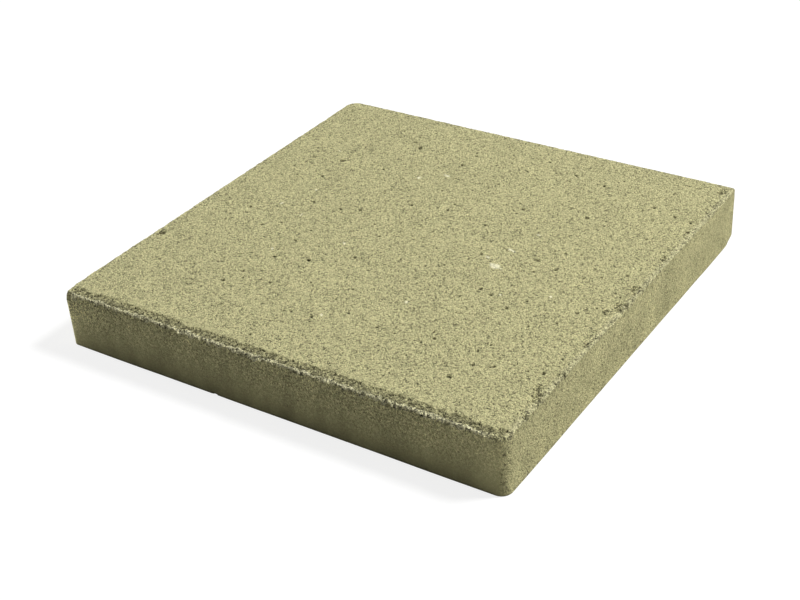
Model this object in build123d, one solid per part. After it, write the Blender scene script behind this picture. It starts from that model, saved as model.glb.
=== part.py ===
"""Flat square pillar cap: one dry-cast concrete slab that lies on top of a brick pillar.

Millimetres, +Z up. The origin is the middle of the underside, the face that is bedded on the
pillar. The slab is one casting, so it is one solid: a square block with rounded upright
corners and eased edges. The press head stops short of the feed side of the mould box, at -X,
so the flat face that it leaves stands just above an unpressed margin along that side.
"""
from build123d import *
import os

# Plan and thickness
LENGTH = 390.0            # side to side, along X
WIDTH = 390.0             # side to side, along Y
THICKNESS = 50.0          # underside to pressed face
CORNER_RADIUS = 7.0       # upright corners, left by the mould box

# Top, where the press head closes into the mould box
MARGIN_WIDTH = 8.5        # feed side to the edge of the pressed face
MARGIN_DROP = 1.0         # pressed face down to the margin
ARRIS_EASE = 1.5          # radius of the edge between the top and the side faces

# Bottom edge, where the slab slid off its pallet
UNDERSIDE_EASE = 1.0      # radius of the rounded edge

MARGIN_HEIGHT = THICKNESS - MARGIN_DROP


def block(height):
    """A square block of the slab's plan, with its top and bottom edges eased."""
    box = extrude(RectangleRounded(LENGTH, WIDTH, CORNER_RADIUS), amount=height)
    box = fillet(box.edges().group_by(Axis.Z)[0], UNDERSIDE_EASE)
    return fillet(box.edges().group_by(Axis.Z)[-1], ARRIS_EASE)


def pressed_part():
    """All of the slab that the press head covered, at its full height."""
    covered = Pos(MARGIN_WIDTH, 0, THICKNESS / 2) * Box(LENGTH, WIDTH, THICKNESS)
    return block(THICKNESS) & covered


def cap_slab():
    """The whole casting."""
    slab = block(MARGIN_HEIGHT) + pressed_part()
    slab.label = "cap_slab"
    return slab


os.makedirs("parts", exist_ok=True)
export_step(cap_slab(), "parts/cap_slab.step")
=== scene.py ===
import math

import bpy
import numpy as np
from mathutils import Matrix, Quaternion, Vector, noise
from mathutils.geometry import delaunay_2d_cdt


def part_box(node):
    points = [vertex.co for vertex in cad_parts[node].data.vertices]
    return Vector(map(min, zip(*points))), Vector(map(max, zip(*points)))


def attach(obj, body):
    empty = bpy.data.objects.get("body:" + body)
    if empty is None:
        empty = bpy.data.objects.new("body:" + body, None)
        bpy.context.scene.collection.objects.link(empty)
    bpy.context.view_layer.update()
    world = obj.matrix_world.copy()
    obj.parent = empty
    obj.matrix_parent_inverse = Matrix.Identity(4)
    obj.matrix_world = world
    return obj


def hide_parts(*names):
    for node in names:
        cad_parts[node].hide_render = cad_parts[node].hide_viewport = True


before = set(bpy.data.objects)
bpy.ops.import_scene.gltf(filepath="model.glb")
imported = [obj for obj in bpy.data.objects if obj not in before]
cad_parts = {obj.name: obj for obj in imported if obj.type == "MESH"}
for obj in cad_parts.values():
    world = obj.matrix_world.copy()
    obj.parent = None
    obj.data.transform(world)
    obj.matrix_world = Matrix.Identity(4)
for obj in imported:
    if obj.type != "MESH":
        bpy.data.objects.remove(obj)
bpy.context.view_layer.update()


# Cap slab, the casting
# One slab of damp sandy concrete, tamped into a mould box under a press head and struck at once.
# The head leaves a flat sandy face that stops short of the feed side, at -X. The margin there stays
# loose and crumbly, and its outer edge, which drags on the wall of the box, tears into a ragged lip.
MM = 0.001
lowest, highest = (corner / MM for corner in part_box("cap_slab"))
half_x = (highest.x - lowest.x) / 2
half_y = (highest.y - lowest.y) / 2
top = highest.z

# Upright corners, as the strike left them: which way along X and Y, and how far each rounding reaches
CORNERS = (
    (1, -1, 3.0, 3.0),
    (1, 1, 11.0, 11.0),
    (-1, 1, 2.2, 3.0),
    (-1, -1, 9.0, 9.0),
)
CORNER_STEP = 0.8

# Spacing in mm of the points that carry the relief; the sides are in the order -X, +X, -Y, +Y
EDGE_STEPS = (0.6, 1.1, 0.8, 1.0)
BETWEEN_STEP = 1.6
FACE_STEP = 3.2
FINE_INSET = 10.5
BETWEEN_INSET = 15.0
FIRST_STEP = 0.55
JITTER = 0.22
SEED = 7
TINY = 1e-6

rng = np.random.default_rng(SEED)


def wall_gaps(x, y):
    """How far a plan point lies from each side of the mould box."""
    return np.array((half_x + x, half_x - x, half_y + y, half_y - y))


def inset(x, y):
    """How far a plan point lies in from the outline, whose corners are rounded."""
    depth = wall_gaps(x, y).min(axis=0)
    for way_x, way_y, reach_x, reach_y in CORNERS:
        past_x = way_x * x - half_x + reach_x
        past_y = way_y * y - half_y + reach_y
        share = np.maximum(np.hypot(past_x / reach_x, past_y / reach_y), TINY)
        to_arc = np.hypot(past_x, past_y) * (1 / share - 1)
        depth = np.where((past_x > 0) & (past_y > 0), np.minimum(depth, to_arc), depth)
    return np.maximum(depth, 0)


def outline():
    """Points along the outline, anticlockwise, each with the way it faces."""
    left_step, right_step, front_step, back_step = EDGE_STEPS
    next_steps = (right_step, back_step, left_step, front_step)
    arcs = []
    for quarter, (way_x, way_y, reach_x, reach_y) in enumerate(CORNERS):
        steps = 2 * round(max(reach_x, reach_y) * math.pi / 4 / CORNER_STEP)
        angle = (quarter - 1 + np.linspace(0, 1, steps + 1)) * math.pi / 2
        turn = np.stack((np.cos(angle), np.sin(angle)), axis=1)
        ways = turn / (reach_x, reach_y)
        ways /= np.hypot(*ways.T)[:, None]
        middle = (way_x * (half_x - reach_x), way_y * (half_y - reach_y))
        arcs.append((middle + turn * (reach_x, reach_y), ways, next_steps[quarter]))
    places = []
    facing = []
    for (arc, ways, step), (next_arc, _, _) in zip(arcs, arcs[1:] + arcs[:1]):
        run = next_arc[0] - arc[-1]
        steps = 2 * round(np.hypot(*run) / 2 / step)
        share = np.arange(1, steps)[:, None] / steps
        places += [arc, arc[-1] + share * run]
        facing += [ways, np.repeat(ways[-1:], steps - 1, axis=0)]
    return np.concatenate(places), np.concatenate(facing)


def scatter(step, nearest, furthest):
    """Plan points about one step apart, with no grid left to see in them, between two insets."""
    reach = max(half_x, half_y)
    row_step = step * math.sqrt(3) / 2
    x, y = np.meshgrid(np.arange(-reach, reach, step), np.arange(-reach, reach, row_step))
    x[1::2] += step / 2
    x += rng.uniform(-JITTER, JITTER, x.shape) * step
    y += rng.uniform(-JITTER, JITTER, y.shape) * step
    depth = inset(x, y)
    keep = (depth > nearest) & (depth <= furthest)
    return np.stack((x[keep], y[keep]), axis=1)


# Pores: holes that air or a lost grain left in the pressed face, as x, y and radius in mm
PORES = [
    (86, 130, 2.5), (146, 91, 2.3), (138, 82, 2.3), (81, -55, 2.2), (127, 31, 2.0), (14, -105, 2.1),
    (18, 64, 1.7), (111, -15, 1.5), (92, -108, 2.0), (-46, -98, 1.6), (-48, 82, 1.7), (11, 79, 1.6),
    (12, 108, 1.6), (-48, 24, 1.7), (45, 31, 1.5), (-20, 150, 1.7), (-88, 187, 1.9), (-124, 95, 1.5),
    (-134, 4, 1.5), (147, 28, 1.5), (133, -149, 1.7), (148, -96, 1.6), (176, 182, 1.5), (-69, 53, 1.5),
    (-34, -32, 1.4), (-151, -125, 1.7), (26, -176, 1.6), (149, 110, 1.3), (44, -41, 1.6), (54, 129, 1.5),
    (-117, -181, 1.6), (126, -170, 1.6), (108, -189, 1.6), (123, -185, 1.4), (-38, -166, 1.7), (8, -124, 1.7),
    (34, -119, 1.4), (33, -110, 1.2), (38, -131, 1.2), (85, -98, 1.3), (-42, -87, 1.6), (-40, 122, 1.6),
    (-57, -118, 1.6), (-77, 81, 1.6), (-116, -92, 1.6), (-131, -133, 1.5), (-2, -110, 1.4), (-106, 90, 1.4),
    (154, -67, 1.4), (3, -61, 1.4), (-126, -147, 1.4), (-123, -47, 1.3),
]
SMALL_PORES = 190
SMALL_PORE_GAP = 22.0
SMALL_PORE_JITTER = 0.4
SMALL_PORE_RADIUS = (0.6, 1.2)
PORE_RINGS = ((0.45, 5), (0.8, 9), (1.08, 10), (1.6, 9))
PORE_CLEARANCE = 2.0

# Flecks: pale smears of lime on the pressed face, as x, y, length, width and turn
FLECKS = [
    (-9, -80, 12.0, 7.0, 75), (18, -80, 10.0, 3.0, 72), (103, 32, 6.5, 2.8, 80), (-68, 90, 5.0, 2.0, 30),
    (-34, 44, 4.5, 2.8, 40), (-3, 130, 6.0, 1.8, 0), (49, -87, 4.0, 2.4, 90), (0, -69, 6.0, 2.0, 55),
    (-85, -48, 4.0, 2.4, 50), (-12, 103, 6.0, 1.4, 10), (30, 118, 4.0, 1.6, 40), (101, 144, 3.0, 1.4, 60),
    (88, 51, 3.4, 2.8, 0), (-43, -104, 3.0, 2.2, 60), (-28, -139, 3.5, 2.4, 60), (-129, -2, 4.0, 2.2, 40),
]
FLECK_STEP = 0.7
FLECK_FINE_SHARE = 0.62

# Crevices where the press left the edges loose, as x, y and radius in mm
CREVICES = [
    (62, -191, 7.0), (10, -191, 8.0), (-16, -190, 7.0), (-29, -184, 5.0), (-72, -192, 8.0), (-114, -193, 6.0),
    (-135, -187, 6.0), (-146, -192, 8.0), (-166, -193, 5.0), (183, -187, 5.0), (-90, 187, 4.5),
]
CREVICE_STEP = 0.55

wall, facing = outline()
plan = []
for side, step in enumerate(EDGE_STEPS):
    near = scatter(step, step * FIRST_STEP, FINE_INSET)
    plan.append(near[wall_gaps(*near.T).argmin(axis=0) == side])
plan.append(scatter(BETWEEN_STEP, FINE_INSET, BETWEEN_INSET))
plan.append(scatter(FACE_STEP, BETWEEN_INSET, half_x))
plan = np.concatenate(plan)

small = scatter(SMALL_PORE_GAP, BETWEEN_INSET, half_x)
small += rng.uniform(-SMALL_PORE_JITTER, SMALL_PORE_JITTER, small.shape) * SMALL_PORE_GAP
small = rng.permutation(small)[:SMALL_PORES]
pores = PORES + [(x, y, rng.uniform(*SMALL_PORE_RADIUS)) for x, y in small]


def within(places, spots):
    """Which plan points lie inside one of the round spots."""
    inside = np.zeros(len(places), bool)
    for x, y, radius in spots:
        inside |= np.hypot(places[:, 0] - x, places[:, 1] - y) < radius
    return inside


def refined(places, spots, step):
    """Plan points, with those inside the spots laid closer together."""
    fine = scatter(step, step * FIRST_STEP, half_x)
    return np.concatenate((places[~within(places, spots)], fine[within(fine, spots)]))


plan = refined(plan, CREVICES, CREVICE_STEP)
plan = refined(plan, [(x, y, length * FLECK_FINE_SHARE) for x, y, length, _, _ in FLECKS], FLECK_STEP)
plan = plan[~within(plan, [(x, y, radius * PORE_CLEARANCE) for x, y, radius in pores])]
rings = []
for x, y, radius in pores:
    rings.append((x, y))
    for share, count in PORE_RINGS:
        angle = rng.uniform(0, math.tau) + math.tau * np.arange(count) / count
        rings += list(zip(x + radius * share * np.cos(angle), y + radius * share * np.sin(angle)))
plan = np.concatenate((wall, plan, rings))

# Relief of the pressed face, in mm; a pattern lists its waves as layer, size in mm and strength
SWELL = 0.35
SWELL_PATTERN = ((0, 95.0, 0.8),)
ROUGHNESS = 0.16
ROUGHNESS_PATTERN = ((3, 7.0, 0.9),)
SMEAR = 0.5
SMEAR_BAND = (3.0, 8.0)
SMEAR_PATTERN = ((110, 14.0, 1.0),)
SMEAR_RANGE = (-0.1, 0.3)

# Crumbs: large ones in mm, small ones as a share of them, and how much of the relief each makes
CRUMB_SIZE = 2.1
CRUMB_HEIGHT = 1.1
CRUMB_STEEPNESS = 1.3
CRUMB_STANDS = (0.62, 0.38)
CRUMB_DRAW = 7.31
SMALL_CRUMB = 0.6
CRUMB_SHARES = (0.6, 0.4)
USUAL_GAP = 0.6
JOINT_WIDTHS = (0.04, 0.20)

# Relief of the margin and its lip, in mm
MARGIN_WIDTH = 9.2
MARGIN_WANDER = 2.4
MARGIN_PATTERN = ((40, 20.0, 1.0), (60, 5.0, 0.8))
MARGIN_END = (3.0, 8.0)
MARGIN_DROP = 0.6
MARGIN_GRAIN = 0.5
# Painted shade in the margin: this much all over it, and this much more where the crumbs gape
MARGIN_PAINTED_SHADE = 0.20
MARGIN_GAP_SHADE = 0.63
MARGIN_GAP_RANGE = (0.48, 0.83)
SHOULDER = 1.6
SHOULDER_RAGS = 2.2
# Less painted shade in the margin towards the pressed face, from this far in
SHOULDER_LESS_SHADE = 0.3
SHOULDER_LESS_SHADE_FROM = 5.0
LIP_WIDTH = 2.6
LIP_WANDER = 0.5
LIP_PATTERN = ((80, 5.0, 1.0), (85, 2.2, 0.6))
LIP_BACK = 1.0
LIP_LEAST = 0.7
LIP_GAP_PATTERN = ((90, 7.0, 1.0),)
LIP_GAP_RANGE = (-0.35, -0.10)
LIP_HEIGHT = 0.25
LIP_HANG = 3.2
LIP_PALENESS = 0.52
LIP_FRONT_FADE = (6.0, 18.0)
LIP_END_FADE = (2.0, 8.0)

# Where the lip droops over the feed side, in mm
DROOP = 2.3
DROOP_REACH = 2.8
DROOP_CURVE = 1.2
DROOP_CRUMB = 0.9
DROOP_PATTERN = ((150, 4.0, 1.0), (155, 1.8, 0.7))
DROOP_RANGE = (-0.05, 0.12)
DROOP_WANDER = ((160, 3.0, 1.3),)

# Notches where the lip has torn away, in mm; the sides are in the order -X, +X, -Y, +Y
NOTCHED = np.array((0.5, 0.0, 0.2, 0.1))
NOTCH_REACH = 2.0
NOTCH_DEPTH = 0.9
NOTCH_PATTERN = ((130, 6.0, 1.0), (135, 2.0, 0.5))
NOTCH_RANGE = (0.0, 0.4)
NOTCH_WALL = (-0.5, 0.1)
NOTCH_SHALLOW = 0.5
# Less of the margin's painted shade in the notches
NOTCH_LESS_SHADE = 0.7

# Relief of the other edges, in mm, in the same order
CRUMBLING = np.array((0.3, 0.25, 0.32, 0.8))
CRUMBLING_REACHES = (1.0, 10.0)
LOOSE_GRAIN = 0.4
PITTED = np.array((0.5, 0.3, 0.5, 0.3))
PITTED_REACHES = (4.0, 14.0)
# Paler along the top of the -Y edge, the sides in the same order
EDGE_PALENESS = np.array((0.0, 0.0, 0.15, 0.0))
EDGE_PALENESS_REACHES = (2.0, 6.0)
ARRIS_RADII = np.array((0.7, 1.5, 0.9, 1.5))
BITES = np.array((0.6, 0.3, 0.5, 0.6))
BITE_PATTERN = ((130, 6.0, 1.0),)
BITE_RANGE = (0.0, 0.45)
SIDE_BLEND = 4.0

# Wear of the left-hand corner, in mm
CORNER_WEAR = 2.2
CORNER_WEAR_REACHES = (4.0, 15.0)
CORNER_SLUMP = 4.5
CORNER_BARENESS = 0.9

# Relief of the crevices, in mm
CREVICE_SQUEEZE = 1.4
CREVICE_REACH = 1.3
CREVICE_RAGS = ((90, 4.0, 0.6),)
CREVICE_FADE = (0.4, 1.0)
CREVICE_CRUMB = 3.8
CREVICE_OPEN_PATTERN = ((95, 4.0, 1.0),)
CREVICE_OPEN_RANGE = (-0.3, 0.05)
CREVICE_PITS = 1.4
CREVICE_DEPTH = 1.6
# Painted shade in the open crevices
CREVICE_PAINTED_SHADE = 0.70


def waves(x, y, z, size):
    """Smooth rise and fall, mostly between -0.6 and 0.6, at a height or in a numbered layer."""
    return noise.noise(Vector((x, y, z)) / size)


def wander(x, y, pattern):
    """Waves of a few sizes laid over each other, each in a layer of its own."""
    return sum(strength * waves(x, y, layer, size) for layer, size, strength in pattern)


def crumbs(x, y, z, size):
    """Height, 0 to 1, of loose crumbs of concrete: rounded lumps, some tall and some missing."""
    distances, centres = noise.voronoi(Vector((x, y, z)) / size)
    least, extra = CRUMB_STANDS
    stands = least + extra * noise.cell(centres[0] * CRUMB_DRAW)
    return max(0.0, 1.0 - CRUMB_STEEPNESS * distances[0] ** 2) * stands


def joints(x, y, size):
    """How open, 0 to 1, the top is at the joints between crumbs."""
    distances, _ = noise.voronoi(Vector((x, y, top)) / size)
    return 1.0 - ramp(distances[1] - distances[0], *JOINT_WIDTHS)


def ramp(value, start, end):
    """0 before start and 1 after end, with a smooth turn at both."""
    share = min(1.0, max(0.0, (value - start) / (end - start)))
    return share * share * (3 - 2 * share)


def by_side(x, y, values):
    """One of four values, by the side that a point is nearest to, blended round the corners."""
    weight = np.exp(-wall_gaps(x, y) / SIDE_BLEND)
    return float((weight * values).sum() / weight.sum())


def sunk(x, y, depth):
    """How far the top lies below the highest point, the painted shade in its hollows, and how grainy, pale
    and pitted it is.
    """
    fall = max(0.0, SWELL * (0.5 + wander(x, y, SWELL_PATTERN)))
    fall += max(0.0, ROUGHNESS * (0.5 + wander(x, y, ROUGHNESS_PATTERN)))
    painted_shade, grainy, pale = 0.0, 1.0, 0.0
    if depth > BETWEEN_INSET:
        return fall, painted_shade, grainy, pale, 0.0
    large, small = CRUMB_SHARES
    gap = 1.0 - large * crumbs(x, y, top, CRUMB_SIZE) - small * crumbs(y, x, top, CRUMB_SIZE * SMALL_CRUMB)
    from_feed, from_front, from_end = half_x + x, half_y + y, half_y - y
    edge = MARGIN_WIDTH + MARGIN_WANDER * wander(x, y, MARGIN_PATTERN)
    edge += SHOULDER_RAGS * (gap - USUAL_GAP)
    margin = 1.0 - ramp(from_feed, edge - SHOULDER / 2, edge + SHOULDER / 2)
    margin *= ramp(from_end, *MARGIN_END)
    torn_to = NOTCH_REACH * by_side(x, y, NOTCHED)
    torn_to *= ramp(wander(x, y, NOTCH_PATTERN), *NOTCH_RANGE)
    notch = (1.0 - ramp(depth - torn_to, *NOTCH_WALL)) * min(1.0, torn_to / NOTCH_SHALLOW)
    depth = max(0.0, depth - torn_to)
    if margin > 0:
        lip_edge = LIP_WIDTH * (1.0 + LIP_WANDER * wander(x, y, LIP_PATTERN))
        lip = 1.0 - ramp(depth, lip_edge - LIP_BACK / 2, lip_edge + LIP_BACK / 2)
        whole = ramp(wander(x, y, LIP_GAP_PATTERN), *LIP_GAP_RANGE)
        lip *= (LIP_LEAST + (1 - LIP_LEAST) * whole) * (1 - notch)
        fall += margin * (MARGIN_DROP + gap * (CRUMB_HEIGHT * (1 - lip) + LIP_HEIGHT * lip))
        # Painted shade in the margin's hollows, less in the notches and towards the pressed face
        painted_shade = margin * (1 - lip) * (1 - NOTCH_LESS_SHADE * notch)
        painted_shade *= 1.0 - SHOULDER_LESS_SHADE * ramp(from_feed, SHOULDER_LESS_SHADE_FROM, MARGIN_WIDTH)
        painted_shade *= MARGIN_PAINTED_SHADE + MARGIN_GAP_SHADE * ramp(gap, *MARGIN_GAP_RANGE)
        pale = margin * lip * LIP_PALENESS * ramp(from_front, *LIP_FRONT_FADE)
    fall += notch * NOTCH_DEPTH * (1 + gap)
    if depth < DROOP_REACH and from_feed < DROOP_REACH:
        bent = ramp(wander(x, y, DROOP_PATTERN), *DROOP_RANGE) * (1 - notch)
        bent *= DROOP * (1.0 + wander(x, y, DROOP_WANDER)) + DROOP_CRUMB * (gap - 0.5)
        fall += max(0.0, bent) * (1.0 - depth / DROOP_REACH) ** DROOP_CURVE
    pressed = (1 - margin) * (1.0 - ramp(from_feed - edge, *SMEAR_BAND))
    grainy += MARGIN_GRAIN * margin
    grainy -= SMEAR * pressed * ramp(wander(x, y, SMEAR_PATTERN), *SMEAR_RANGE)
    loose = by_side(x, y, CRUMBLING) * (1.0 - ramp(depth, *CRUMBLING_REACHES)) * (1 - margin)
    pitted = by_side(x, y, PITTED) * (1.0 - ramp(depth, *PITTED_REACHES))
    for crevice_x, crevice_y, radius in CREVICES:
        away = math.hypot(x - crevice_x, CREVICE_SQUEEZE * (y - crevice_y)) / radius
        if away < CREVICE_REACH:
            torn = 1.0 - ramp(away + wander(x, y, CREVICE_RAGS), *CREVICE_FADE)
            opened = ramp(wander(x, y, CREVICE_OPEN_PATTERN), *CREVICE_OPEN_RANGE)
            opened *= torn * joints(x, y, CREVICE_CRUMB)
            loose = max(loose, torn)
            pitted = max(pitted, CREVICE_PITS * torn)
            fall += CREVICE_DEPTH * opened
            # Painted shade in the open crevice
            painted_shade = max(painted_shade, CREVICE_PAINTED_SHADE * opened)
    fall += loose * gap
    grainy += LOOSE_GRAIN * min(1.0, loose)
    edge_pale = by_side(x, y, EDGE_PALENESS) * (1.0 - ramp(depth, *EDGE_PALENESS_REACHES))
    pale = max(pale, edge_pale * (1 - painted_shade))
    worn = 1.0 - ramp(math.hypot(from_feed, from_end), *CORNER_WEAR_REACHES)
    radius = by_side(x, y, ARRIS_RADII) + CORNER_WEAR * worn
    radius += by_side(x, y, BITES) * ramp(wander(x, y, BITE_PATTERN), *BITE_RANGE)
    if depth < radius:
        pale *= 1.0 - CORNER_BARENESS * worn * (1.0 - depth / radius)
        fall += (radius + CORNER_SLUMP * worn) * (1.0 - math.sqrt(1.0 - (1.0 - depth / radius) ** 2))
    return fall, painted_shade, grainy, pale, pitted


depths = inset(*plan.T)
reliefs = np.array([sunk(x, y, depth) for (x, y), depth in zip(plan, depths)])
falls, painted_shades, grains, flecks, pits = reliefs.T

# Pores as bowls: depth and reach as shares of the radius, and how soon painted shade darkens them
PORE_DEPTH = 1.2
PORE_REACH = 1.5
PORE_PATTERN = ((20, 1.3, 0.45),)
PORE_PAINTED_SHADE = 2.2
for x, y, radius in pores:
    away = np.hypot(plan[:, 0] - x, plan[:, 1] - y)
    for k in np.nonzero(away < radius * PORE_REACH)[0]:
        ragged = radius * (1.0 + wander(*plan[k], PORE_PATTERN))
        bowl = max(0.0, 1.0 - (away[k] / ragged) ** 2)
        falls[k] += PORE_DEPTH * radius * math.sqrt(bowl)
        # Painted shade in the pore, darkest at its middle
        painted_shades[k] = max(painted_shades[k], min(1.0, PORE_PAINTED_SHADE * bowl))

# Flecks: reach and fade as shares of their size, and how far they fill the grain
FLECK_REACH = 1.6
FLECK_PATTERN = ((30, 2.2, 0.5),)
FLECK_FADE = (0.7, 1.0)
FLECK_FILL = 0.5

for x, y, length, width, turn in FLECKS:
    angle = math.radians(turn)
    along = (plan[:, 0] - x) * math.cos(angle) + (plan[:, 1] - y) * math.sin(angle)
    across = (plan[:, 1] - y) * math.cos(angle) - (plan[:, 0] - x) * math.sin(angle)
    away = np.hypot(along / length * 2, across / width * 2)
    for k in np.nonzero(away < FLECK_REACH)[0]:
        ragged = away[k] + wander(*plan[k], FLECK_PATTERN)
        flecks[k] = max(flecks[k], 1.0 - ramp(ragged, *FLECK_FADE))
        grains[k] *= 1.0 - FLECK_FILL * flecks[k]

# Side faces, in mm: as rough as the lip under the top edge, and smooth below it
TORN_ROWS = 9
TORN_FOOT = 41.5
TORN_HEAD = 46.0
SHELTER = 0.6
SHELTER_HEIGHTS = (46.5, 49.0)
SMOOTH_ROWS = 10
SMOOTH_FOOT = 1.0
ROW_CROWDING = 1.3
WALL_SWELL = 0.25
WALL_SWELL_SIZE = 45.0
WALL_SWELL_LEAST = 0.4
WALL_TEAR = np.array((0.6, 0.35, 0.4, 0.6))
WALL_TEAR_PATTERN = ((120, 8.0, 1.0),)
WALL_TEAR_RANGE = (-0.2, 0.4)
WALL_TEAR_SHARES = (0.4, 0.9)
# Painted shade between the crumbs of the torn side
WALL_PAINTED_SHADE = 0.16
WALL_PAINTED_SHADE_RANGE = (0.75, 1.0)
UNDERSIDE_EASE = 1.0
EASE_ANGLES = (30, 60, 90)
# Grain: the feed side by height and towards its two ends, and the others from -X to +X
FEED_DEPTH = 1.0
FEED_GRAIN = (0.25, 1.4)
FEED_GRAIN_HEIGHTS = (8.0, 40.0)
FRONT_GRAIN = 0.6
FRONT_GRAIN_REACH = 80.0
END_GRAIN = 1.3
END_GRAIN_REACH = 60.0
FAR_GRAIN = (0.8, 0.8, 0.5)
UNPITTED = -1.0
# A chip out of the bottom edge of the feed side
CHIP_Y = 53.0
CHIP_REACH = 2.8
CHIP_DEPTH = 0.9
CHIP_FADE = (0.3, 1.0)
CHIP_INSETS = (2.0, 1.0)
# The foot of the right-hand corner, worn round
FOOT_WEAR = 4.3
FOOT_WEAR_HEIGHT = 7.0
FOOT_WEAR_REACHES = (3.0, 17.0)
FOOT_WEAR_WAY = (-math.sqrt(0.5), math.sqrt(0.5))
# Stains and painted light: drips on the feed side, with painted shade towards its foot and painted light
# at its two ends and near its top, and blotches on the others, with painted shade under the top edge
DRIP_SIZES = (9.0, 24.0)
DRIP_LENGTHS = (1.2, 4.0)
# Painted shade towards the foot of the feed side, and more at its very foot
LOW_PAINTED_SHADE = 3.3
LOW_PAINTED_SHADE_HEIGHT = 32.0
FOOT_PAINTED_SHADE = 2.5
FOOT_PAINTED_SHADE_HEIGHT = 2.5
# Painted light towards the two ends of the feed side, on its far corner, and near its top
END_PAINTED_LIGHT = 4.6
END_PAINTED_LIGHT_REACH = 34.0
CORNER_PAINTED_LIGHT = 1.4
CORNER_PAINTED_LIGHT_REACH = 6.0
UPPER_PAINTED_LIGHT = 0.6
UPPER_PAINTED_LIGHT_HEIGHTS = (38.0, 46.0)
FRONT_PAINTED_LIGHT = 1.2
FRONT_PAINTED_LIGHT_REACH = 70.0
FAR_DUST = (-0.11, 0.17, -0.17)
FEED_FACING = (0.4, 0.85)
# Painted shade under the top edge of the other sides, most towards -X
ARRIS_PAINTED_SHADE = 0.55
ARRIS_PAINTED_SHADE_HEIGHTS = (41.0, 47.0)


def dragged(x, y, z):
    """How far the side lies in from the wall of the mould box, and the painted shade in its hollows there."""
    fall = WALL_SWELL * max(0.0, WALL_SWELL_LEAST + waves(x, y, z, WALL_SWELL_SIZE))
    painted_shade = 0.0
    torn = ramp(z, TORN_FOOT, TORN_HEAD) * (1.0 - SHELTER * ramp(z, *SHELTER_HEIGHTS))
    if torn > 0:
        gap = 1.0 - crumbs(x, y, z, CRUMB_SIZE)
        least, extra = WALL_TEAR_SHARES
        torn *= least + extra * ramp(wander(x, y, WALL_TEAR_PATTERN), *WALL_TEAR_RANGE)
        fall += torn * by_side(x, y, WALL_TEAR) * gap
        # Painted shade between the crumbs
        painted_shade = WALL_PAINTED_SHADE * torn * ramp(gap, *WALL_PAINTED_SHADE_RANGE)
    if x < 0 and z < CHIP_REACH:
        away = math.hypot(y - CHIP_Y, z) / CHIP_REACH
        fall += CHIP_DEPTH * (1.0 - ramp(away, *CHIP_FADE)) * ramp(half_x + x, *CHIP_INSETS)
    return fall, painted_shade


def side_row(places, ways, heights, extra=0.0):
    """One row of points round the sides, and the painted shade in the hollows at each."""
    inward, painted_shade = np.array([dragged(x, y, z) for (x, y), z in zip(places, heights)]).T
    moved = places - ways * (inward + extra)[:, None]
    from_corner = np.hypot(half_x - places[:, 0], half_y + places[:, 1])
    near = np.interp(from_corner, FOOT_WEAR_REACHES, (1.0, 0.0))
    worn = FOOT_WEAR * near ** 2 * np.clip(1.0 - heights / FOOT_WEAR_HEIGHT, 0, 1) ** 2
    moved += worn[:, None] * FOOT_WEAR_WAY
    return np.column_stack((moved, heights)), painted_shade


def on_feed(places):
    """Which points of the outline lie on the feed side."""
    return places[:, 0] < FEED_DEPTH - half_x


def side_grain(places, heights):
    """How grainy the sides are: the feed side is smoother towards its foot and its front end."""
    fading = np.interp(heights, FEED_GRAIN_HEIGHTS, FEED_GRAIN)
    stations = (-half_y, FRONT_GRAIN_REACH - half_y, half_y - END_GRAIN_REACH, half_y)
    fading *= np.interp(places[:, 1], stations, (FRONT_GRAIN, 1.0, 1.0, END_GRAIN))
    far = np.interp(places[:, 0], (-half_x, 0, half_x), FAR_GRAIN)
    return np.where(on_feed(places), fading, far)


def side_pale(places, heights):
    """How pale the sides are where the lip hangs down over the feed side."""
    hang = [LIP_HANG * (0.5 + wander(x, y, LIP_PATTERN)) for x, y in places]
    pale = np.interp(heights - top + hang, (-LIP_BACK / 2, LIP_BACK / 2), (0.0, 1.0))
    pale *= np.interp(half_y + places[:, 1], LIP_FRONT_FADE, (0.0, 1.0))
    pale *= np.interp(half_y - places[:, 1], LIP_END_FADE, (0.0, 1.0))
    return np.where(on_feed(places), LIP_PALENESS * pale, 0)


def side_stain_and_painted_light(places, ways, heights):
    """How much lighter or darker the sides are than the rest, with painted light and shade among the stains.
    """
    faces_feed = np.interp(-ways[:, 0], FEED_FACING, (0.0, 1.0))
    lengths = np.interp(faces_feed, (0, 1), DRIP_LENGTHS)
    spots = np.column_stack((places, heights / lengths))
    stain_and_painted_light = np.array([sum(waves(*spot, size) for size in DRIP_SIZES) for spot in spots])
    from_end = half_y - places[:, 1]
    # Painted light towards the ends and the top of the feed side, and painted shade towards its foot
    near = END_PAINTED_LIGHT * np.clip(1.0 - from_end / END_PAINTED_LIGHT_REACH, 0, 1)
    near += CORNER_PAINTED_LIGHT * np.clip(1.0 - from_end / CORNER_PAINTED_LIGHT_REACH, 0, 1)
    near += FRONT_PAINTED_LIGHT * np.clip(1.0 - (half_y + places[:, 1]) / FRONT_PAINTED_LIGHT_REACH, 0, 1)
    near += np.interp(heights, UPPER_PAINTED_LIGHT_HEIGHTS, (0.0, UPPER_PAINTED_LIGHT))
    near -= LOW_PAINTED_SHADE * np.clip(1.0 - heights / LOW_PAINTED_SHADE_HEIGHT, 0, 1)
    near -= FOOT_PAINTED_SHADE * np.clip(1.0 - heights / FOOT_PAINTED_SHADE_HEIGHT, 0, 1)
    far = np.interp(places[:, 0], (-half_x, 0, half_x), FAR_DUST)
    # Painted shade under the top edge
    painted_shade_under_arris = np.interp(heights, ARRIS_PAINTED_SHADE_HEIGHTS, (0.0, ARRIS_PAINTED_SHADE))
    far -= painted_shade_under_arris * np.interp(places[:, 0], (-half_x, half_x), (1.0, 0.0))
    return stain_and_painted_light + faces_feed * near + (1 - faces_feed) * far


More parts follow.
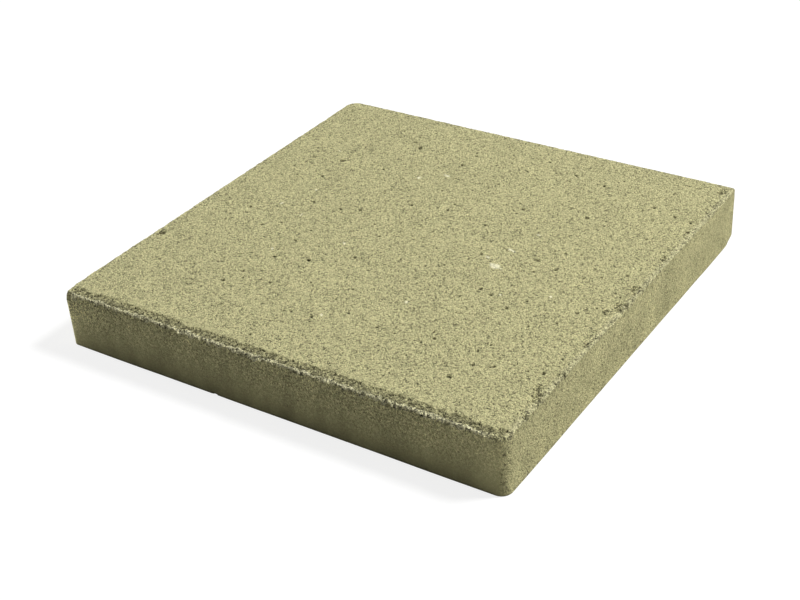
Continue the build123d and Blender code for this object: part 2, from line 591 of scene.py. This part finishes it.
rim = top - falls[:len(wall)]
blocks = [np.column_stack((plan, top - falls))]
blocks[0][:len(wall)], _ = side_row(wall, facing, rim)
rows = [np.arange(len(wall))]
grains = [grains]
painted_shades = [painted_shades]
pales = [flecks]
pits = [pits]
stains_and_painted_light = [np.zeros(len(plan))]
count = len(plan)
half_wall, half_facing = wall[::2], facing[::2]
levels = []
for step in range(1, TORN_ROWS + 1):
    levels.append((wall, facing, rim + (TORN_FOOT - rim) * step / TORN_ROWS, 0.0))
for share in np.linspace(1, 0, SMOOTH_ROWS + 1)[1:]:
    z = SMOOTH_FOOT + (TORN_FOOT - SMOOTH_FOOT) * share ** ROW_CROWDING
    levels.append((half_wall, half_facing, np.full(len(half_wall), z), 0.0))
for angle in EASE_ANGLES:
    z = SMOOTH_FOOT - UNDERSIDE_EASE * math.sin(math.radians(angle))
    eased = UNDERSIDE_EASE * (1 - math.cos(math.radians(angle)))
    levels.append((half_wall, half_facing, np.full(len(half_wall), z), eased))
for places, ways, heights, eased in levels:
    row, painted_shade = side_row(places, ways, heights, eased)
    blocks.append(row)
    painted_shades.append(painted_shade)
    grains.append(side_grain(places, heights))
    pales.append(side_pale(places, heights))
    pits.append(np.where(on_feed(places), UNPITTED, 0.0))
    stains_and_painted_light.append(side_stain_and_painted_light(places, ways, heights))
    rows.append(np.arange(count, count + len(places)))
    count += len(places)

MERGE_DISTANCE = 1e-5


def covered(places, ring_size):
    """Triangles over plan points, the first of which are the ring round them."""
    spots = [Vector(place) for place in places]
    _, _, cells, origins, _, _ = delaunay_2d_cdt(spots, [], [list(range(ring_size))], 1, MERGE_DISTANCE)
    return [[origins[k][0] for k in cell] for cell in cells]


faces = covered(plan, len(wall))
for upper, lower in zip(rows, rows[1:]):
    after = np.roll(lower, -1)
    if len(upper) == len(lower):
        faces += np.column_stack((upper, lower, after, np.roll(upper, -1))).tolist()
    else:
        even, odd = upper[::2], upper[1::2]
        faces += np.column_stack((even, lower, odd)).tolist()
        faces += np.column_stack((odd, lower, after)).tolist()
        faces += np.column_stack((odd, after, np.roll(even, -1))).tolist()

# The underside is flat, as the pallet left it
UNDERSIDE_STEP = 14.0
UNDERSIDE_INSET = 9.0
UNDERSIDE_GRAIN = 0.8
underside = scatter(UNDERSIDE_STEP, UNDERSIDE_INSET, half_x)
foot = blocks[-1][:, :2]
ids = np.concatenate((rows[-1], np.arange(count, count + len(underside))))
for face in covered(np.concatenate((foot, underside)), len(foot)):
    faces.append([int(ids[k]) for k in reversed(face)])
blocks.append(np.column_stack((underside, np.zeros(len(underside)))))
grains.append(np.full(len(underside), UNDERSIDE_GRAIN))

points = np.concatenate(blocks)
mesh = bpy.data.meshes.new("cap_slab_casting")
mesh.from_pydata((points * MM).tolist(), [], faces)
kept = {"grainy": grains, "painted_shade": painted_shades, "pale": pales, "pitted": pits, "stain_and_painted_light": stains_and_painted_light}
for name, values in kept.items():
    values = np.concatenate(values)
    whole = np.concatenate((values, np.zeros(len(points) - len(values))))
    mesh.attributes.new(name, "FLOAT", "POINT").data.foreach_set("value", whole)
mesh.shade_smooth()
slab = bpy.data.objects.new("cap_slab_casting", mesh)
bpy.context.collection.objects.link(slab)


# Cap slab, the finish
# Sand and cement with nothing laid over them: buff grains of many tones, pits between them and
# hollows where crumbs have gone, both darkened with painted shade, and a few pale smears of lime.
BUFF = (0.460, 0.445, 0.232, 1.0)
BROWN = (0.463, 0.428, 0.230, 1.0)
LIME = (0.76, 0.73, 0.50, 1.0)
SPECULAR = 0.15
MATT = (0.84, 0.98)
# Grains by their size in mm, and noises by size and detail
GRAIN_SIZE = 1.1
FINES = (0.6, 2.0)
SPECKS = (1.4, 1.0)
PITS = (2.2, 1.0)
MOTTLE = (22.0, 3.0)
STREAK = (1.0, 1.0, 1 / 3.0)
NOISE_ROUGHNESS = 0.6
# How much of each noise shows, and the tones that it gives
GRAIN_CURVES = (0.7, 2.0)
GRAIN_TONES = (1.42, 0.56)
FINES_RANGE = (0.25, 0.75)
FINES_TONES = (0.43, 1.62)
SPECK_EDGE = (0.42, 0.34)
# Painted shade in the dented specks
SPECK_SHADE_TONE = 0.81
PIT_EDGE = (0.35, 0.30)
# Painted shade in the small pits
PIT_SHADE_TONE = 0.38
PIT_SHARE = 0.05
UNPITTED_LIFT = 0.12
DARKEST = 0.15
MOTTLE_RANGE = (0.3, 0.7)
MOTTLE_TONES = (0.95, 1.05)
# Tone per unit of stain and of painted light and shade on the sides
STAIN_AND_PAINTED_LIGHT_TONE = 0.14
# Colour left in the deepest painted shade of the hollows
PAINTED_SHADE_TONE = 0.14
# Relief too fine for the mesh: its height in m, and the part of each noise in it
RELIEF = 0.0009
FINES_RELIEF = 0.8
GRAIN_RELIEF = 0.8
SPECK_RELIEF = 0.4

concrete = bpy.data.materials.new("dry_cast_concrete")
concrete.use_nodes = True
nodes = concrete.node_tree.nodes
links = concrete.node_tree.links
shader = nodes["Principled BSDF"]
shader.inputs["Specular IOR Level"].default_value = SPECULAR


def node(kind, **settings):
    """A new node with its settings."""
    new = nodes.new(kind)
    for name, value in settings.items():
        setattr(new, name, value)
    return new


def plug(socket, value):
    """Links an input to another node, or sets it to a value."""
    if isinstance(value, bpy.types.NodeSocket):
        links.new(value, socket)
    else:
        socket.default_value = value


def feed(new, *values, **named):
    """Plugs a node's inputs, in order or by name, and hands the node back."""
    for socket, value in zip(new.inputs, values):
        plug(socket, value)
    for name, value in named.items():
        plug(new.inputs[name.replace("_", " ")], value)
    return new


def maths(operation, first, second):
    """One sum of two values."""
    return feed(node("ShaderNodeMath", operation=operation), first, second).outputs[0]


def spread(value, low, high, new_low, new_high, turn="LINEAR"):
    """A value moved from one range to another and held inside it."""
    moved = node("ShaderNodeMapRange", interpolation_type=turn)
    feed(moved, Value=value, From_Min=low, From_Max=high, To_Min=new_low, To_Max=new_high)
    return moved.outputs["Result"]


def blended(share, first, second, way="MIX"):
    """Two colours mixed."""
    mixed = node("ShaderNodeMix", data_type="RGBA", blend_type=way)
    feed(mixed, Factor=share)
    for name, value in (("A", first), ("B", second)):
        plug(next(s for s in mixed.inputs if s.name == name and s.type == "RGBA"), value)
    return next(s for s in mixed.outputs if s.type == "RGBA")


def lumps(size, detail, place):
    """Soft noise with features of one size in mm."""
    new = node("ShaderNodeTexNoise")
    feed(new, Vector=place, Scale=1 / size, Detail=detail, Roughness=NOISE_ROUGHNESS)
    return new.outputs["Fac"]


place = node("ShaderNodeTexCoord").outputs["Object"]
place = feed(node("ShaderNodeVectorMath", operation="SCALE"), place, Scale=1 / MM).outputs[0]
tall = feed(node("ShaderNodeVectorMath", operation="MULTIPLY"), place, STREAK).outputs[0]
marks = [node("ShaderNodeAttribute", attribute_name=name).outputs["Fac"] for name in kept]
grainy, painted_shade, pale, pitted, stain_and_painted_light = marks

grain = feed(node("ShaderNodeTexVoronoi", feature="F1"), Vector=place, Scale=1 / GRAIN_SIZE)
tones = feed(node("ShaderNodeSeparateColor"), grain.outputs["Color"])
fines = lumps(*FINES, place)
opened = maths("MULTIPLY", pitted, PIT_SHARE)
speck = spread(maths("SUBTRACT", lumps(*SPECKS, place), opened), *SPECK_EDGE, 0.0, 1.0, "SMOOTHSTEP")
pit = spread(maths("SUBTRACT", lumps(*PITS, place), opened), *PIT_EDGE, 0.0, 1.0, "SMOOTHSTEP")
mottle = lumps(*MOTTLE, tall)

tone = maths("POWER", tones.outputs["Red"], spread(pitted, UNPITTED, 0.0, *GRAIN_CURVES))
lift = spread(pitted, UNPITTED, 0.0, UNPITTED_LIFT, 0.0)
tone = maths("ADD", spread(tone, 0.0, 1.0, *GRAIN_TONES), lift)
tone = maths("MULTIPLY", tone, spread(fines, *FINES_RANGE, *FINES_TONES))
# Painted shade in the specks and small pits
tone = maths("MULTIPLY", tone, spread(speck, 0.0, 1.0, 1.0, SPECK_SHADE_TONE))
tone = maths("MULTIPLY", tone, spread(pit, 0.0, 1.0, 1.0, PIT_SHADE_TONE))
tone = maths("ADD", maths("MULTIPLY", maths("SUBTRACT", tone, 1.0), grainy), 1.0)
tone = maths("MAXIMUM", tone, DARKEST)
tone = maths("MULTIPLY", tone, spread(mottle, *MOTTLE_RANGE, *MOTTLE_TONES))
# Stains, and painted light and shade, on the sides
tone = maths("MULTIPLY", tone, maths("ADD", maths("MULTIPLY", stain_and_painted_light, STAIN_AND_PAINTED_LIGHT_TONE), 1.0))
# Painted shade in the hollows: pores, crevices, the margin and the torn sides
tone = maths("MULTIPLY", tone, spread(painted_shade, 0.0, 1.0, 1.0, PAINTED_SHADE_TONE))

colour = blended(tones.outputs["Green"], BUFF, BROWN)
colour = blended(pale, colour, LIME)
colour = blended(1.0, colour, tone, "MULTIPLY")
links.new(colour, shader.inputs["Base Color"])
links.new(spread(tones.outputs["Blue"], 0.0, 1.0, *MATT), shader.inputs["Roughness"])

relief = maths("MULTIPLY", fines, FINES_RELIEF)
relief = maths("SUBTRACT", relief, maths("MULTIPLY", grain.outputs["Distance"], GRAIN_RELIEF))
relief = maths("SUBTRACT", relief, maths("MULTIPLY", speck, SPECK_RELIEF))
relief = maths("SUBTRACT", relief, pit)
relief = maths("MULTIPLY", relief, grainy)
bump = feed(node("ShaderNodeBump"), Strength=1.0, Distance=RELIEF, Height=relief)
links.new(bump.outputs["Normal"], shader.inputs["Normal"])

mesh.materials.append(concrete)
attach(slab, "root")
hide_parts("cap_slab")


# Floor
# A plain white studio floor that the slab lies on. It looks white where it is lit and keeps
# the slab's soft shadow, and it sends back less light than it seems to.
FLOOR_REACH = 5.0
FLOOR_FADE = (2.0, 4.5)
FLOOR_BOUNCE = (0.53, 0.52, 0.49, 1.0)
FLOOR_GLOW = 0.81
FLOOR_SHADING = 0.25

floor_mesh = bpy.data.meshes.new("floor")
floor_corners = [(-FLOOR_REACH, -FLOOR_REACH, 0), (FLOOR_REACH, -FLOOR_REACH, 0)]
floor_corners += [(FLOOR_REACH, FLOOR_REACH, 0), (-FLOOR_REACH, FLOOR_REACH, 0)]
floor_mesh.from_pydata(floor_corners, [], [(0, 1, 2, 3)])
floor = bpy.data.objects.new("floor", floor_mesh)
bpy.context.collection.objects.link(floor)
paint = bpy.data.materials.new("white_floor")
paint.use_nodes = True
nodes = paint.node_tree.nodes
links = paint.node_tree.links
nodes.clear()


def either(unseen, seen):
    """One shader for light on its way, and another for what the camera, a reflection or glass sees."""
    path = node("ShaderNodeLightPath").outputs
    direct = maths("MAXIMUM", path["Is Camera Ray"], path["Is Glossy Ray"])
    direct = maths("MAXIMUM", direct, path["Is Transmission Ray"])
    return feed(node("ShaderNodeMixShader"), direct, unseen.outputs[0], seen.outputs[0]).outputs[0]


away = feed(node("ShaderNodeVectorMath", operation="LENGTH"), node("ShaderNodeTexCoord").outputs["Object"])
glow = feed(node("ShaderNodeEmission"), Strength=spread(away.outputs["Value"], *FLOOR_FADE, FLOOR_GLOW, 1.0))
shading = feed(node("ShaderNodeBsdfDiffuse"), Color=(FLOOR_SHADING, FLOOR_SHADING, FLOOR_SHADING, 1.0))
lit_floor = feed(node("ShaderNodeAddShader"), glow.outputs[0], shading.outputs[0])
bounce = feed(node("ShaderNodeBsdfDiffuse"), Color=FLOOR_BOUNCE)
feed(node("ShaderNodeOutputMaterial"), Surface=either(bounce, lit_floor))
floor_mesh.materials.append(paint)


# Light
# One large soft lamp high on the right, a low one behind and a pale room round them: the top and the
# right-hand side are lit, and the left-hand side has only what the room and the floor send back.
LAMPS = (
    ("key", Vector((0.324, -0.49, 0.809)), 1.1, 202.0),
    ("back", Vector((-0.05, 0.99, 0.13)), 0.9, 150.0),
)
LAMP_DISTANCE = 4.4
ROOM_LIGHT = 0.13
WHITE = (1.0, 1.0, 1.0, 1.0)

for name, way, size, power in LAMPS:
    lamp = bpy.data.lights.new(name, "AREA")
    lamp.shape = "DISK"
    lamp.size = size
    lamp.energy = power
    stand = bpy.data.objects.new(name, lamp)
    stand.location = way * LAMP_DISTANCE
    stand.rotation_mode = "QUATERNION"
    stand.rotation_quaternion = way.to_track_quat("Z", "Y")
    bpy.context.collection.objects.link(stand)

room = bpy.data.worlds.new("room")
room.use_nodes = True
nodes = room.node_tree.nodes
links = room.node_tree.links
nodes.clear()
ambient = feed(node("ShaderNodeBackground"), Color=WHITE, Strength=ROOM_LIGHT)
backdrop = feed(node("ShaderNodeBackground"), Color=WHITE, Strength=1.0)
feed(node("ShaderNodeOutputWorld"), Surface=either(ambient, backdrop))
bpy.context.scene.world = room
bpy.context.scene.view_settings.view_transform = "Standard"


# Camera
# It looks down on the slab over its front corner, turned a little on its own axis.
CAMERA_PLACE = Vector((-830.8, -566.9, 621.6))
CAMERA_AIM = Vector((-37.5, -46.85, 25.0))
SENSOR_WIDTH = 36.0
CAMERA_LENS = 64.97
CAMERA_SHIFT = -0.05
CAMERA_ROLL = -2.82

lens = bpy.data.cameras.new("camera")
lens.lens = CAMERA_LENS
lens.shift_x = CAMERA_SHIFT
lens.sensor_width = SENSOR_WIDTH
lens.sensor_fit = "HORIZONTAL"
camera = bpy.data.objects.new("camera", lens)
camera.location = CAMERA_PLACE * MM
camera.rotation_mode = "QUATERNION"
level = (CAMERA_AIM - CAMERA_PLACE).to_track_quat("-Z", "Y")
camera.rotation_quaternion = level @ Quaternion((0, 0, 1), math.radians(CAMERA_ROLL))
bpy.context.collection.objects.link(camera)
bpy.context.scene.camera = camera
